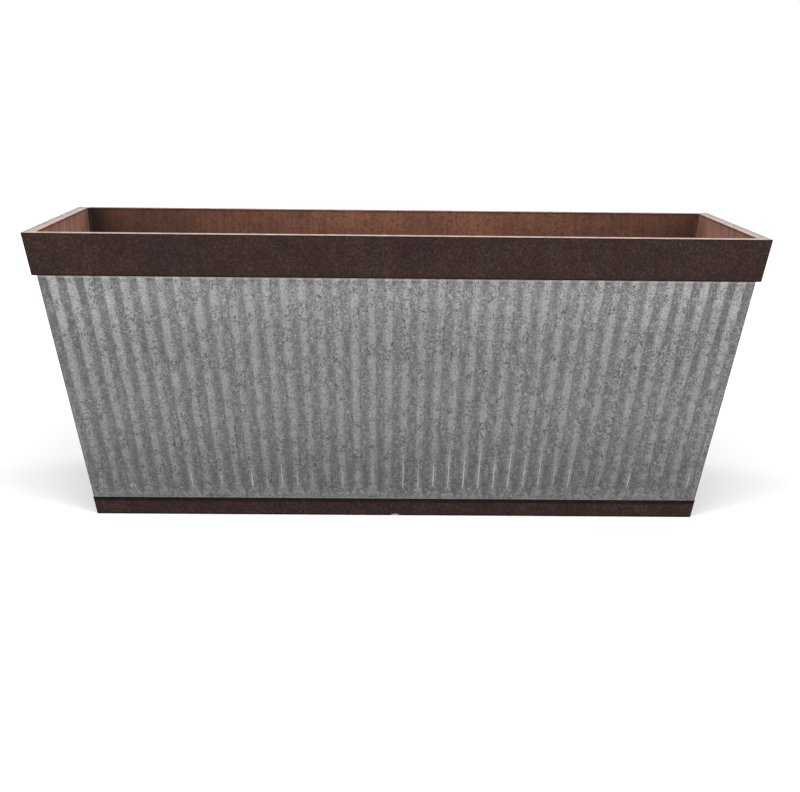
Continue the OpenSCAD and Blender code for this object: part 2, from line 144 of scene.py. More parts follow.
class PlanterColours(PropertyGroup):
    """Colours of the finishes."""
    sheet_light: colour("Sheet, light", "Lightest grey of the sheets", srgb(188, 189, 188))
    sheet_dark: colour("Sheet, dark", "Darkest grey of the sheets", srgb(62, 64, 63))
    sheet_warm: colour("Sheet, warm", "Reddish tint of the sheets", srgb(146, 138, 136))
    sheet_cool: colour("Sheet, cool", "Greenish tint of the sheets", srgb(128, 142, 138))
    # A painted highlight halo on the sheet along the bands' edges
    sheet_halo: colour("Sheet, chalk", "Pale line along the bands", srgb(216, 208, 206))
    # Painted highlight on the crests and creases, partly scratches on the crests
    sheet_highlight: colour("Sheet, lines", "Rubbed lines on the crests", srgb(206, 212, 208))
    umber_mid: colour("Umber", "Main colour of the bands", srgb(48, 33, 30))
    umber_red: colour("Umber, red", "Rust tint of the bands", srgb(60, 35, 29))
    umber_cool: colour("Umber, cool", "Plum tint of the bands", srgb(40, 33, 33))
    umber_fleck: colour("Umber, flecks", "Pale flecks of the bands", srgb(74, 59, 53))
    umber_pit: colour("Umber, pits", "Dark grain of the bands", srgb(27, 18, 18))
    # Painted shade along the bands' edges
    umber_shade_line: colour("Umber, lines", "Dark lines along the bands' edges", srgb(18, 12, 12))
    # Painted reflection of the pale surroundings on the rim's upper face, with wear
    rim_top_sheen: colour("Rim top", "Worn skin on the rim's upper face", srgb(196, 160, 148))
    rim_streak: colour("Rim top, streaks", "Duller streaks of the skin", srgb(154, 118, 106))
    rim_kept: colour("Rim top, kept", "Brown that is left on the ends", srgb(88, 64, 58))
    tub_mid: colour("Tub", "Main brown of the tub", srgb(109, 72, 58))
    tub_warm: colour("Tub, warm", "Red brown of the tub", srgb(128, 80, 60))
    tub_cool: colour("Tub, cool", "Dull brown of the tub", srgb(88, 60, 46))
    tub_end_lit: colour("Tub, ends", "Paler brown of the end walls", srgb(154, 110, 93))
    # Painted light on the end walls' inner faces
    tub_streak: colour("Tub, streaks", "Upright streaks of the tub", srgb(84, 52, 42))
    tub_light: colour("Tub, light", "Light flakes of the tub", srgb(136, 96, 76))
    # Dark stain and painted shade of the tub
    tub_stain_and_shade: colour("Tub, dark", "Dark stain of the tub", srgb(40, 26, 22))
    steel: colour("Steel", "Zinc plated steel", srgb(196, 198, 202))
    steel_warm: colour("Steel, warm", "Yellowish tint of the zinc", srgb(204, 200, 186))
    steel_cool: colour("Steel, cool", "Bluish tint of the zinc", srgb(180, 186, 196))
    steel_worn: colour("Steel, worn", "Rubbed edges of the zinc", srgb(226, 228, 232))
    rubber: colour("Rubber", "Black rubber", srgb(30, 30, 31))
    rubber_warm: colour("Rubber, warm", "Brownish tint of the rubber", srgb(40, 38, 36))
    rubber_cool: colour("Rubber, cool", "Bluish tint of the rubber", srgb(24, 25, 27))
    rubber_dust: colour("Rubber, dust", "Dust on the rubber", srgb(96, 90, 84))


class StageSettings(PropertyGroup):
    """Lamps and floor."""
    sky: FloatProperty(name="Sky", description="Light from all round", default=0.5, min=0)
    side_lamp: watts("Side lamps", "Power of each side lamp", 20)
    top_lamp: watts("Top lamp", "Power of the top lamp", 16)
    rear_lamp: watts("Rear lamps", "Power of each rear lamp", 12)
    floor: colour("Floor", "Colour of the floor", (0.9, 0.9, 0.9))


def sizes():
    return bpy.context.scene.planter_sizes


def colours():
    return bpy.context.scene.planter_colours


def half_l(z):
    """Half length of the rim's outer plane, carried down to height z."""
    return RIM_HI.x - sizes().end_lean * (HEIGHT - z) / HEIGHT


def half_w(z):
    """Half width of the rim's outer plane, carried down to height z."""
    return RIM_HI.y - sizes().side_lean * (HEIGHT - z) / HEIGHT


def smooth(t):
    """Runs from 0 to 1 with a soft start and end while t does."""
    t = min(max(t, 0.0), 1.0)
    return t * t * (3 - 2 * t)


# Nodes

def set_inputs(tree, made, inputs):
    """Links each input of a node to a socket, or sets it to a value."""
    for key, value in inputs.items():
        socket = made.inputs[key]
        if isinstance(value, bpy.types.NodeSocket):
            tree.links.new(value, socket)
        elif socket.type == "RGBA":
            socket.default_value = (*value[:3], 1)
        else:
            socket.default_value = value


def node(tree, kind, inputs=None, **settings):
    """A new node with its settings and inputs."""
    made = tree.nodes.new(kind)
    for key, value in settings.items():
        setattr(made, key, value)
    set_inputs(tree, made, inputs or {})
    return made


def math_node(tree, operation, a, b=0.0, clamp=False):
    return node(tree, "ShaderNodeMath", {0: a, 1: b}, operation=operation, use_clamp=clamp).outputs[0]


def plus(tree, a, b):
    return math_node(tree, "ADD", a, b)


def minus(tree, a, b):
    return math_node(tree, "SUBTRACT", a, b)


def times(tree, a, b, clamp=False):
    return math_node(tree, "MULTIPLY", a, b, clamp)


def absolute(tree, a):
    return math_node(tree, "ABSOLUTE", a)


def ramp(tree, value, span, out=(0.0, 1.0)):
    """Maps the two ends of span smoothly onto the two ends of out."""
    made = node(
        tree, "ShaderNodeMapRange",
        {"Value": value, "From Min": span[0], "From Max": span[1], "To Min": out[0], "To Max": out[1]},
        interpolation_type="SMOOTHSTEP",
    )
    return made.outputs["Result"]


def mix(tree, factor, a, b):
    """Colour a, with colour b over it by factor."""
    # Sockets 6, 7 and 2 are the ones for colours
    made = node(tree, "ShaderNodeMix", {0: factor, 6: a, 7: b}, data_type="RGBA", clamp_factor=True)
    return made.outputs[2]


def grain(tree, vector, scale, detail=2.0, roughness=0.5, distortion=0.0):
    made = node(
        tree, "ShaderNodeTexNoise",
        {"Vector": vector, "Scale": scale, "Detail": detail, "Roughness": roughness,
         "Distortion": distortion},
    )
    return made.outputs["Fac"]


def bare_tree(owner):
    """The node tree of a new material or world, emptied."""
    owner.use_nodes = True
    owner.node_tree.nodes.clear()
    return owner.node_tree


def object_place(tree):
    return tree.nodes.new("ShaderNodeTexCoord").outputs["Object"]


def normal(tree):
    return tree.nodes.new("ShaderNodeNewGeometry").outputs["Normal"]


def axes(tree, vector):
    """The X, Y and Z of a vector."""
    return node(tree, "ShaderNodeSeparateXYZ", {"Vector": vector}).outputs


def attribute(tree, name):
    return node(tree, "ShaderNodeAttribute", attribute_name=name).outputs["Fac"]


def bump(tree, shader, height, strength, distance):
    made = node(tree, "ShaderNodeBump", {"Height": height, "Strength": strength, "Distance": distance})
    tree.links.new(made.outputs["Normal"], shader.inputs["Normal"])


# Shared effects

FLOAT = "NodeSocketFloat"
COLOUR = "NodeSocketColor"


def new_group(name, inputs, outputs=(("Mask", FLOAT),)):
    """An empty shader node group; returns the group, its input and its output sockets."""
    group = bpy.data.node_groups.new(name, "ShaderNodeTree")
    for label, kind, default in inputs:
        socket = group.interface.new_socket(label, in_out="INPUT", socket_type=kind)
        socket.default_value = default
    for label, kind in outputs:
        group.interface.new_socket(label, in_out="OUTPUT", socket_type=kind)
    return group, group.nodes.new("NodeGroupInput").outputs, group.nodes.new("NodeGroupOutput").inputs


def place(group, stretch=(1, 1, 1)):
    """Object coordinates inside a group, stretched."""
    mapping = node(group, "ShaderNodeMapping", {"Vector": object_place(group), "Scale": stretch})
    return mapping.outputs["Vector"]


def put_mask(group, shape, broken, given, out):
    """Puts out a shape that noise breaks up, at the amount that the group is given."""
    both = times(group, shape, broken)
    group.links.new(times(group, both, given["Amount"], clamp=True), out["Mask"])
    return group


def speckle_group():
    """Fine dots and short worm-shaped marks that gather in patches."""
    patch_pull, density_pull = 0.14, 0.25
    worm_scale, worm_strength = 0.62, 0.8
    group, given, out = new_group(
        "Speckle",
        [("Scale", FLOAT, 480.0), ("Patch Scale", FLOAT, 60.0), ("Density", FLOAT, 0.5),
         ("Distortion", FLOAT, 1.0)],
    )
    where = place(group)
    patches = grain(group, where, given["Patch Scale"], detail=3.0, roughness=0.6)
    patch = ramp(group, patches, (0.32, 0.68))
    fine = grain(group, where, given["Scale"], roughness=0.6, distortion=given["Distortion"])
    # Dense patches lower the threshold that a dot has to pass
    lift = times(group, minus(group, patch, 0.5), patch_pull)
    drop = times(group, minus(group, given["Density"], 0.5), density_pull)
    dots = ramp(group, plus(group, plus(group, fine, lift), drop), (0.54, 0.59))
    # A worm follows the line on which a coarser grain passes through its middle
    coarser = times(group, given["Scale"], worm_scale)
    coarse = grain(group, where, coarser, detail=1.0, distortion=given["Distortion"])
    off_line = absolute(group, minus(group, coarse, 0.5))
    worms = times(group, ramp(group, off_line, (0.008, 0.032), (1.0, 0.0)), patch)
    both = math_node(group, "MAXIMUM", dots, times(group, worms, worm_strength))
    group.links.new(both, out["Mask"])
    return group


def mottle_group():
    """Three colours that drift into each other at two scales."""
    fineness = 6.3
    group, given, out = new_group(
        "Mottle",
        [("Base", COLOUR, (0.5, 0.5, 0.5, 1)), ("Warm", COLOUR, (0.5, 0.4, 0.3, 1)),
         ("Cool", COLOUR, (0.3, 0.4, 0.5, 1)), ("Scale", FLOAT, 40.0), ("Amount", FLOAT, 0.7)],
        [("Color", COLOUR), ("Value", FLOAT)],
    )
    where = place(group)
    finer = times(group, given["Scale"], fineness)
    broad = grain(group, where, given["Scale"], detail=4.0, roughness=0.6, distortion=0.4)
    small = grain(group, where, finer, detail=3.0, roughness=0.65, distortion=0.2)
    warm = times(group, ramp(group, broad, (0.48, 0.66)), given["Amount"])
    cool = times(group, ramp(group, small, (0.50, 0.66)), given["Amount"])
    warmed = mix(group, warm, given["Base"], given["Warm"])
    group.links.new(mix(group, cool, warmed, given["Cool"]), out["Color"])
    group.links.new(small, out["Value"])
    return group


def wear_group():
    """Edges rubbed bright, broken up by noise."""
    softness = 0.08
    group, given, out = new_group(
        "Edge wear", [("Start", FLOAT, 0.52), ("Scale", FLOAT, 120.0), ("Amount", FLOAT, 0.6)]
    )
    edge = group.nodes.new("ShaderNodeNewGeometry").outputs["Pointiness"]
    rubbed = ramp(group, edge, (given["Start"], plus(group, given["Start"], softness)))
    noise_in = grain(group, place(group), given["Scale"], detail=4.0, roughness=0.7)
    return put_mask(group, rubbed, ramp(group, noise_in, (0.40, 0.62)), given, out)


def dust_and_sheen_group():
    """A mask on faces that look up: dust on the rubber, and on the rim's top a painted reflection with
    wear.
    """
    group, given, out = new_group("Dust and sheen", [("Scale", FLOAT, 90.0), ("Amount", FLOAT, 1.0)])
    facing = ramp(group, axes(group, normal(group))["Z"], (0.75, 0.97))
    noise_in = grain(group, place(group), given["Scale"], detail=4.0, roughness=0.6)
    return put_mask(group, facing, ramp(group, noise_in, (0.30, 0.62), (0.75, 1.0)), given, out)


def foot_darkening_group():
    """Darker towards the foot, in upright runs."""
    run_stretch, run_scale = (1, 1, 0.08), 55.0
    group, given, out = new_group(
        "Foot darkening", [("Top", FLOAT, 0.2), ("Foot", FLOAT, 0.0), ("Amount", FLOAT, 0.5)]
    )
    z = axes(group, object_place(group))["Z"]
    low = node(
        group, "ShaderNodeMapRange", {"Value": z, "From Min": given["Top"], "From Max": given["Foot"]}
    ).outputs["Result"]
    noise_in = grain(group, place(group, run_stretch), run_scale, detail=3.0, roughness=0.6)
    return put_mask(group, low, ramp(group, noise_in, (0.25, 0.75), (0.75, 1.1)), given, out)


def line_group():
    """A thin level line at one height, broken up by noise."""
    core = 0.4
    group, given, out = new_group(
        "Level line", [("Height", FLOAT, 0.2), ("Width", FLOAT, 0.0008), ("Amount", FLOAT, 0.6)]
    )
    off = absolute(group, minus(group, axes(group, object_place(group))["Z"], given["Height"]))
    near = ramp(group, off, (times(group, given["Width"], core), given["Width"]), (1.0, 0.0))
    noise_in = grain(group, place(group), 150.0, detail=3.0, roughness=0.6)
    return put_mask(group, near, ramp(group, noise_in, (0.25, 0.6), (0.6, 1.0)), given, out)


def corner_shade_and_stain_group():
    """Painted shade and stain along the long walls: broad and deeper towards the ends, and dark in the
    corners.
    """
    offset, corner_width = 0.012, 0.042
    group, given, out = new_group(
        "Corner shade and stain",
        [("Start", FLOAT, 0.03), ("End", FLOAT, 0.32), ("Amount", FLOAT, 0.6),
         ("Corner", FLOAT, 0.27), ("Corner Amount", FLOAT, 0.6)],
    )
    # The shade and stain on the left reach a little further in than on the right
    away = absolute(group, minus(group, axes(group, object_place(group))["X"], offset))
    broad = times(group, ramp(group, away, (given["Start"], given["End"])), given["Amount"])
    dark = ramp(group, away, (given["Corner"], plus(group, given["Corner"], corner_width)))
    along = plus(group, broad, times(group, dark, given["Corner Amount"]))
    facing = ramp(group, absolute(group, axes(group, normal(group))["Y"]), (0.1, 0.6))
    group.links.new(times(group, along, facing, clamp=True), out["Mask"])
    return group


EFFECTS = {
    "speckle": speckle_group, "mottle": mottle_group, "wear": wear_group, "dust_and_sheen": dust_and_sheen_group,
    "foot_darkening": foot_darkening_group, "line": line_group, "corner": corner_shade_and_stain_group,
}
GROUPS = {}


def effect(tree, name, inputs):
    """Places a shared effect; the group is built the first time it is asked for."""
    if name not in GROUPS:
        GROUPS[name] = EFFECTS[name]()
    made = tree.nodes.new("ShaderNodeGroup")
    made.node_tree = GROUPS[name]
    set_inputs(tree, made, inputs)
    return made.outputs


def mottle(tree, base, warm, cool, scale, amount=0.6):
    return effect(
        tree, "mottle", {"Base": base, "Warm": warm, "Cool": cool, "Scale": scale, "Amount": amount}
    )


# Finishes

# Painted highlight halos on the sheet along the bands' edges: height, width and amount
HALO_LINES = ((RIM_LO.z - 0.0005, 0.0022, 0.42), (FOOT_BAND_TOP + 0.0003, 0.0010, 0.1))
# Painted shade lines along the bands' edges: height and width
BAND_SHADE_LINES = ((RIM_LO.z, 0.0018), (HEIGHT, 0.0012), (FOOT_BAND_TOP, 0.0048), (0.0, 0.0018))


def stripe_tone(tree, ragged, painted_side_light):
    """Crests against valleys: soft and ragged in the middle, crisper towards the upper corners, where
    painted side light sharpens them.
    """
    shift, fraying = 0.1, 0.6
    tone = plus(tree, attribute(tree, "relief"), shift)
    frayed = plus(tree, tone, times(tree, ragged, fraying))
    crisp = ramp(tree, frayed, (0.34, 0.62))
    soft = ramp(tree, frayed, (-0.05, 0.9))
    return plus(tree, times(tree, crisp, painted_side_light), times(tree, soft, minus(tree, 1.0, painted_side_light)))


def sheet_marks(tree, where, shaped, specks):
    """Fine grain and specks, stronger higher up and to the right."""
    covered = 0.24
    x, _, z = axes(tree, where)
    noise_in = grain(tree, where, 620.0, roughness=0.65, distortion=1.0)
    fine = ramp(tree, noise_in, (0.36, 0.64), (-0.13, 0.11))
    # A speck is darker than a crest, and a little paler than a valley
    depth = ramp(tree, shaped, (0.22, 0.58), (-0.34, 0.44))
    dots = times(tree, minus(tree, covered, specks), depth)
    upwards = ramp(tree, z, (0.02, 0.20), (0.76, 0.94))
    rightwards = ramp(tree, x, (-0.25, 0.30), (0.97, 1.10))
    return times(tree, times(tree, plus(tree, fine, dots), upwards), rightwards)


def galvanised_sheet(tree, shader):
    """Weathered zinc grey: pale crests and dull valleys with specks; painted side light sharpens them
    towards the upper corners, and painted shade darkens the grey towards the foot.
    """
    middle_swing, side_light_swing, mean_tone = 0.12, 0.20, 0.64
    cloudiness, power, tinting, highlight_strength = 0.15, 1.6, 0.05, 0.8
    c = colours()
    where = object_place(tree)
    x, _, z = axes(tree, where)
    painted_side_light = attribute(tree, "painted_side_light")
    ragged = minus(tree, grain(tree, where, 230.0, detail=4.0, roughness=0.7), 0.5)
    shaped = stripe_tone(tree, ragged, painted_side_light)
    # Painted side light: crests stand out more against valleys towards the upper corners
    contrast = plus(tree, times(tree, painted_side_light, side_light_swing), middle_swing)
    swing = times(tree, contrast, ramp(tree, x, (0.0, 0.28), (1.0, 0.8)))
    stripe = times(tree, minus(tree, shaped, mean_tone), swing)
    speck = effect(
        tree, "speckle", {"Scale": 560.0, "Patch Scale": 90.0, "Density": 0.42, "Distortion": 1.3}
    )
    marks = sheet_marks(tree, where, shaped, speck["Mask"])
    # Painted shade: the grey pales from the foot upwards, and once more under the rim, as light falls off
    # downwards
    painted_foot_shade = ramp(tree, z, (0.015, 0.10), (0.255, 0.385))
    level = plus(tree, painted_foot_shade, ramp(tree, z, (0.14, 0.205), (0.0, 0.11)))
    for part in (stripe, marks, times(tree, ragged, cloudiness)):
        level = plus(tree, level, part)
    paleness = math_node(tree, "POWER", math_node(tree, "MAXIMUM", level, 0.0), power, clamp=True)
    toned = mix(tree, paleness, c.sheet_dark, c.sheet_light)
    tint = ramp(tree, grain(tree, where, 26.0), (0.35, 0.65))
    sheet_colour = mix(tree, tinting, toned, mix(tree, tint, c.sheet_warm, c.sheet_cool))
    # Painted highlight: a pale halo line on the sheet along each band's edge
    for height, width, amount in HALO_LINES:
        halo = effect(tree, "line", {"Height": height, "Width": width, "Amount": amount})
        sheet_colour = mix(tree, halo["Mask"], sheet_colour, c.sheet_halo)
    # Painted highlight along the crests and creases near the foot, partly scratches
    lines = times(tree, attribute(tree, "rib_highlight"), highlight_strength)
    set_inputs(tree, shader, {
        "Base Color": mix(tree, lines, sheet_colour, c.sheet_highlight),
        "Roughness": ramp(tree, speck["Mask"], (0.0, 1.0), (0.55, 0.75)),
        "Metallic": 0.1,
        "Specular IOR Level": 0.25,
    })
    bump(tree, shader, paleness, 0.2, 0.0003)


def rim_face_sheen_and_wear(tree, where):
    """The rim's upper face, pale with painted reflection and with wear: streaky, with brown left along the
    outer part of the ends.
    """
    c = colours()
    streak = ramp(tree, grain(tree, where, 120.0, detail=3.0, roughness=0.6), (0.38, 0.62))
    skin = mix(tree, streak, c.rim_top_sheen, c.rim_streak)
    across = absolute(tree, axes(tree, where)["X"])
    outer = ramp(tree, across, (RIM_HI.x - 0.0065, RIM_HI.x - 0.0030), (0.0, 0.8))
    patchy = ramp(tree, grain(tree, where, 60.0, detail=3.0, roughness=0.6), (0.3, 0.6), (0.5, 1.0))
    return mix(tree, times(tree, outer, patchy), skin, c.rim_kept)


def umber_band(tree, shader):
    """Dark umber with a fine rust mottle and dark lines of painted shade along the edges; on the rim's top,
    pale with painted reflection and wear, and glossy.
    """
    fleck_strength, gloss, fleck_height = 0.45, 0.4, 0.4
    c = colours()
    where = object_place(tree)
    tone = mottle(tree, c.umber_mid, c.umber_red, c.umber_cool, 60.0)
    speck = effect(
        tree, "speckle", {"Scale": 470.0, "Patch Scale": 45.0, "Density": 0.5, "Distortion": 1.2}
    )
    flecked = mix(tree, times(tree, speck["Mask"], fleck_strength), tone["Color"], c.umber_fleck)
    noise_in = grain(tree, where, 560.0, roughness=0.65, distortion=0.8)
    outside = mix(tree, ramp(tree, noise_in, (0.40, 0.60), (0.0, 0.65)), flecked, c.umber_pit)
    # Painted shade: dark lines under the rim, along its top edge, over the foot bands and along the floor
    for height, width in BAND_SHADE_LINES:
        line = effect(tree, "line", {"Height": height, "Width": width, "Amount": 1.0})
        outside = mix(tree, line["Mask"], outside, c.umber_shade_line)
    # Painted shade: a dark line under the rim's inner edge
    under_lip_shade = effect(tree, "line", {"Height": HEIGHT - 0.0008, "Width": 0.0018, "Amount": 0.5})
    inside = mix(tree, under_lip_shade["Mask"], tub_brown(tree)[0], c.tub_stain_and_shade)
    sides = mix(tree, attribute(tree, "inside"), outside, inside)
    # Painted reflection with wear on the rim's upward faces
    sheen_and_wear = effect(tree, "dust_and_sheen", {"Scale": 140.0, "Amount": 0.9})
    on_top = ramp(tree, axes(tree, where)["Z"], (RIM_LO.z, HEIGHT - 0.004))
    top = times(tree, sheen_and_wear["Mask"], on_top)
    set_inputs(tree, shader, {
        "Base Color": mix(tree, top, sides, rim_face_sheen_and_wear(tree, where)),
        "Roughness": ramp(tree, top, (0.0, 1.0), (0.75, 0.35)),
        "Coat Weight": times(tree, top, gloss),
        "Coat Roughness": 0.2,
        "Specular IOR Level": 0.1,
    })
    hammer = plus(tree, tone["Value"], times(tree, speck["Mask"], fleck_height))
    bump(tree, shader, hammer, 0.2, 0.0003)


def tub_brown(tree):
    """The tub's colour with its flakes, streaks, stains and painted shade and light, and the noise that
    also makes its grain.
    """
    flake_strength = 0.5
    c = colours()
    where = object_place(tree)
    tone = mottle(tree, c.tub_mid, c.tub_warm, c.tub_cool, 30.0, 0.85)
    # Painted light: the end walls are paler inside, as lit from across the tub
    side = axes(tree, normal(tree))["X"]
    inwards = times(tree, side, math_node(tree, "SIGN", axes(tree, where)["X"]))
    lit = mix(tree, ramp(tree, inwards, (-0.95, -0.5), (0.9, 0.0)), tone["Color"], c.tub_end_lit)
    # Upright streaks, which vary along a wall but hardly across it, so that they follow its lean
    on_end = ramp(tree, absolute(tree, side), (0.4, 0.6))
    x_scale = ramp(tree, on_end, (0.0, 1.0), (260.0, 8.0))
    y_scale = ramp(tree, on_end, (0.0, 1.0), (8.0, 130.0))
    scales = node(tree, "ShaderNodeCombineXYZ", {"X": x_scale, "Y": y_scale, "Z": 14.0}).outputs[0]
    upright = node(tree, "ShaderNodeVectorMath", {0: where, 1: scales}, operation="MULTIPLY").outputs[0]
    streak = ramp(tree, grain(tree, upright, 1.0, detail=3.0, roughness=0.6), (0.38, 0.66), (0.0, 0.6))
    streaked = mix(tree, streak, lit, c.tub_streak)
    flake = effect(
        tree, "speckle", {"Scale": 420.0, "Patch Scale": 36.0, "Density": 0.55, "Distortion": 0.9}
    )
    flaked = mix(tree, times(tree, flake["Mask"], flake_strength), streaked, c.tub_light)
    foot_darkening = effect(tree, "foot_darkening", {"Top": 0.232, "Foot": 0.15, "Amount": 0.6})
    stained = mix(tree, foot_darkening["Mask"], flaked, c.tub_stain_and_shade)
    # Painted shade and stain in the corners of the long walls
    corner = effect(tree, "corner", {"Amount": 0.63, "Corner Amount": 0.42})
    return mix(tree, corner["Mask"], stained, c.tub_stain_and_shade), tone["Value"]


def tub_resin(tree, shader):
    """Brown moulded resin with flakes and upright streaks, dark in the corners with painted shade and
    stain, and darker lower down.
    """
    brown, value = tub_brown(tree)
    set_inputs(tree, shader, {
        "Base Color": brown,
        "Roughness": ramp(tree, value, (0.3, 0.7), (0.5, 0.66)),
        "Specular IOR Level": 0.15,
    })
    bump(tree, shader, value, 0.2, 0.0004)


def zinc_steel(tree, shader):
    """Plated steel with a fine rolling grain and rubbed edges."""
    c = colours()
    tone = mottle(tree, c.steel, c.steel_warm, c.steel_cool, 60.0)
    wear = effect(tree, "wear", {"Start": 0.53, "Scale": 300.0, "Amount": 0.5})
    set_inputs(tree, shader, {
        "Base Color": mix(tree, wear["Mask"], tone["Color"], c.steel_worn),
        "Roughness": ramp(tree, tone["Value"], (0.3, 0.7), (0.28, 0.45)),
        "Metallic": 1.0,
    })
    bump(tree, shader, tone["Value"], 0.1, 0.0002)


def rubber_black(tree, shader):
    """Matt black rubber with a little dust."""
    c = colours()
    tone = mottle(tree, c.rubber, c.rubber_warm, c.rubber_cool, 90.0)
    dust = effect(tree, "dust_and_sheen", {"Scale": 200.0, "Amount": 0.25})
    set_inputs(tree, shader, {
        "Base Color": mix(tree, dust["Mask"], tone["Color"], c.rubber_dust),
        "Roughness": ramp(tree, tone["Value"], (0.3, 0.7), (0.7, 0.88)),
    })
    bump(tree, shader, tone["Value"], 0.25, 0.0002)


FINISHES = {
    "galvanised_sheet": galvanised_sheet, "umber_band": umber_band, "tub_resin": tub_resin,
    "zinc_steel": zinc_steel, "rubber": rubber_black,
}
MATERIALS = {}


def material(name):
    """The material of that name, made the first time it is asked for."""
    if name not in MATERIALS:
        made = bpy.data.materials.new(name)
        tree = bare_tree(made)
        shader = tree.nodes.new("ShaderNodeBsdfPrincipled")
        tree.links.new(shader.outputs[0], tree.nodes.new("ShaderNodeOutputMaterial").inputs["Surface"])
        FINISHES[name](tree, shader)
        MATERIALS[name] = made
    return MATERIALS[name]


# Pieces

def dress(piece, slot, *nodes):
    """Gives a new piece its finish, its body, and the nodes that it stands for."""
    piece.data.materials.clear()
    piece.data.materials.append(material(slot))
    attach(piece, body_of(frame["nodes"][nodes[0]])[0])
    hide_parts(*nodes)


def new_object(name, data):
    made = bpy.data.objects.new(name, data)
    bpy.context.scene.collection.objects.link(made)
    return made


def merged_copy(cad_node):
    """The CAD node's mesh as a bmesh with whole flat faces."""
    same_place = 1e-6
    bm = bmesh.new()
    bm.from_mesh(frame["nodes"][cad_node].data)
    bmesh.ops.remove_doubles(bm, verts=bm.verts, dist=same_place)
    bmesh.ops.dissolve_limit(bm, angle_limit=FLAT_BELOW, verts=bm.verts, edges=bm.edges)
    return bm


def round_edges(bm, width, segments, chosen):
    """Rounds the sharp edges that chosen picks."""
    picked = [
        edge for edge in bm.edges
        if len(edge.link_faces) == 2 and edge.calc_face_angle(0) > ROUNDED_ABOVE and chosen(edge)
    ]
    bmesh.ops.bevel(
        bm, geom=picked, offset=width, offset_type="OFFSET", segments=segments, profile=0.5,
        affect="EDGES", clamp_overlap=True,
    )


def finished_piece(bm, name, cad_node, slot):
    """Turns the bmesh into a smooth shaded piece that stands for the CAD node."""
    mesh = bpy.data.meshes.new(name)
    for face in bm.faces:
        face.smooth = True
    for edge in bm.edges:
        if len(edge.link_faces) == 2:
            edge.smooth = edge.calc_face_angle(0) < SMOOTH_BELOW
    bm.to_mesh(mesh)
    bm.free()
    made = new_object(name, mesh)
    weighted = made.modifiers.new("Flat faces stay flat", "WEIGHTED_NORMAL")
    weighted.keep_sharp = True
    dress(made, slot, cad_node)
    return made


def at_height(z):
    """Picks the edges that lie at height z."""
    close = 1e-5
    return lambda edge: all(abs(vert.co.z - z) < close for vert in edge.verts)


def any_edge(edge):
    """Picks every edge."""
    return True


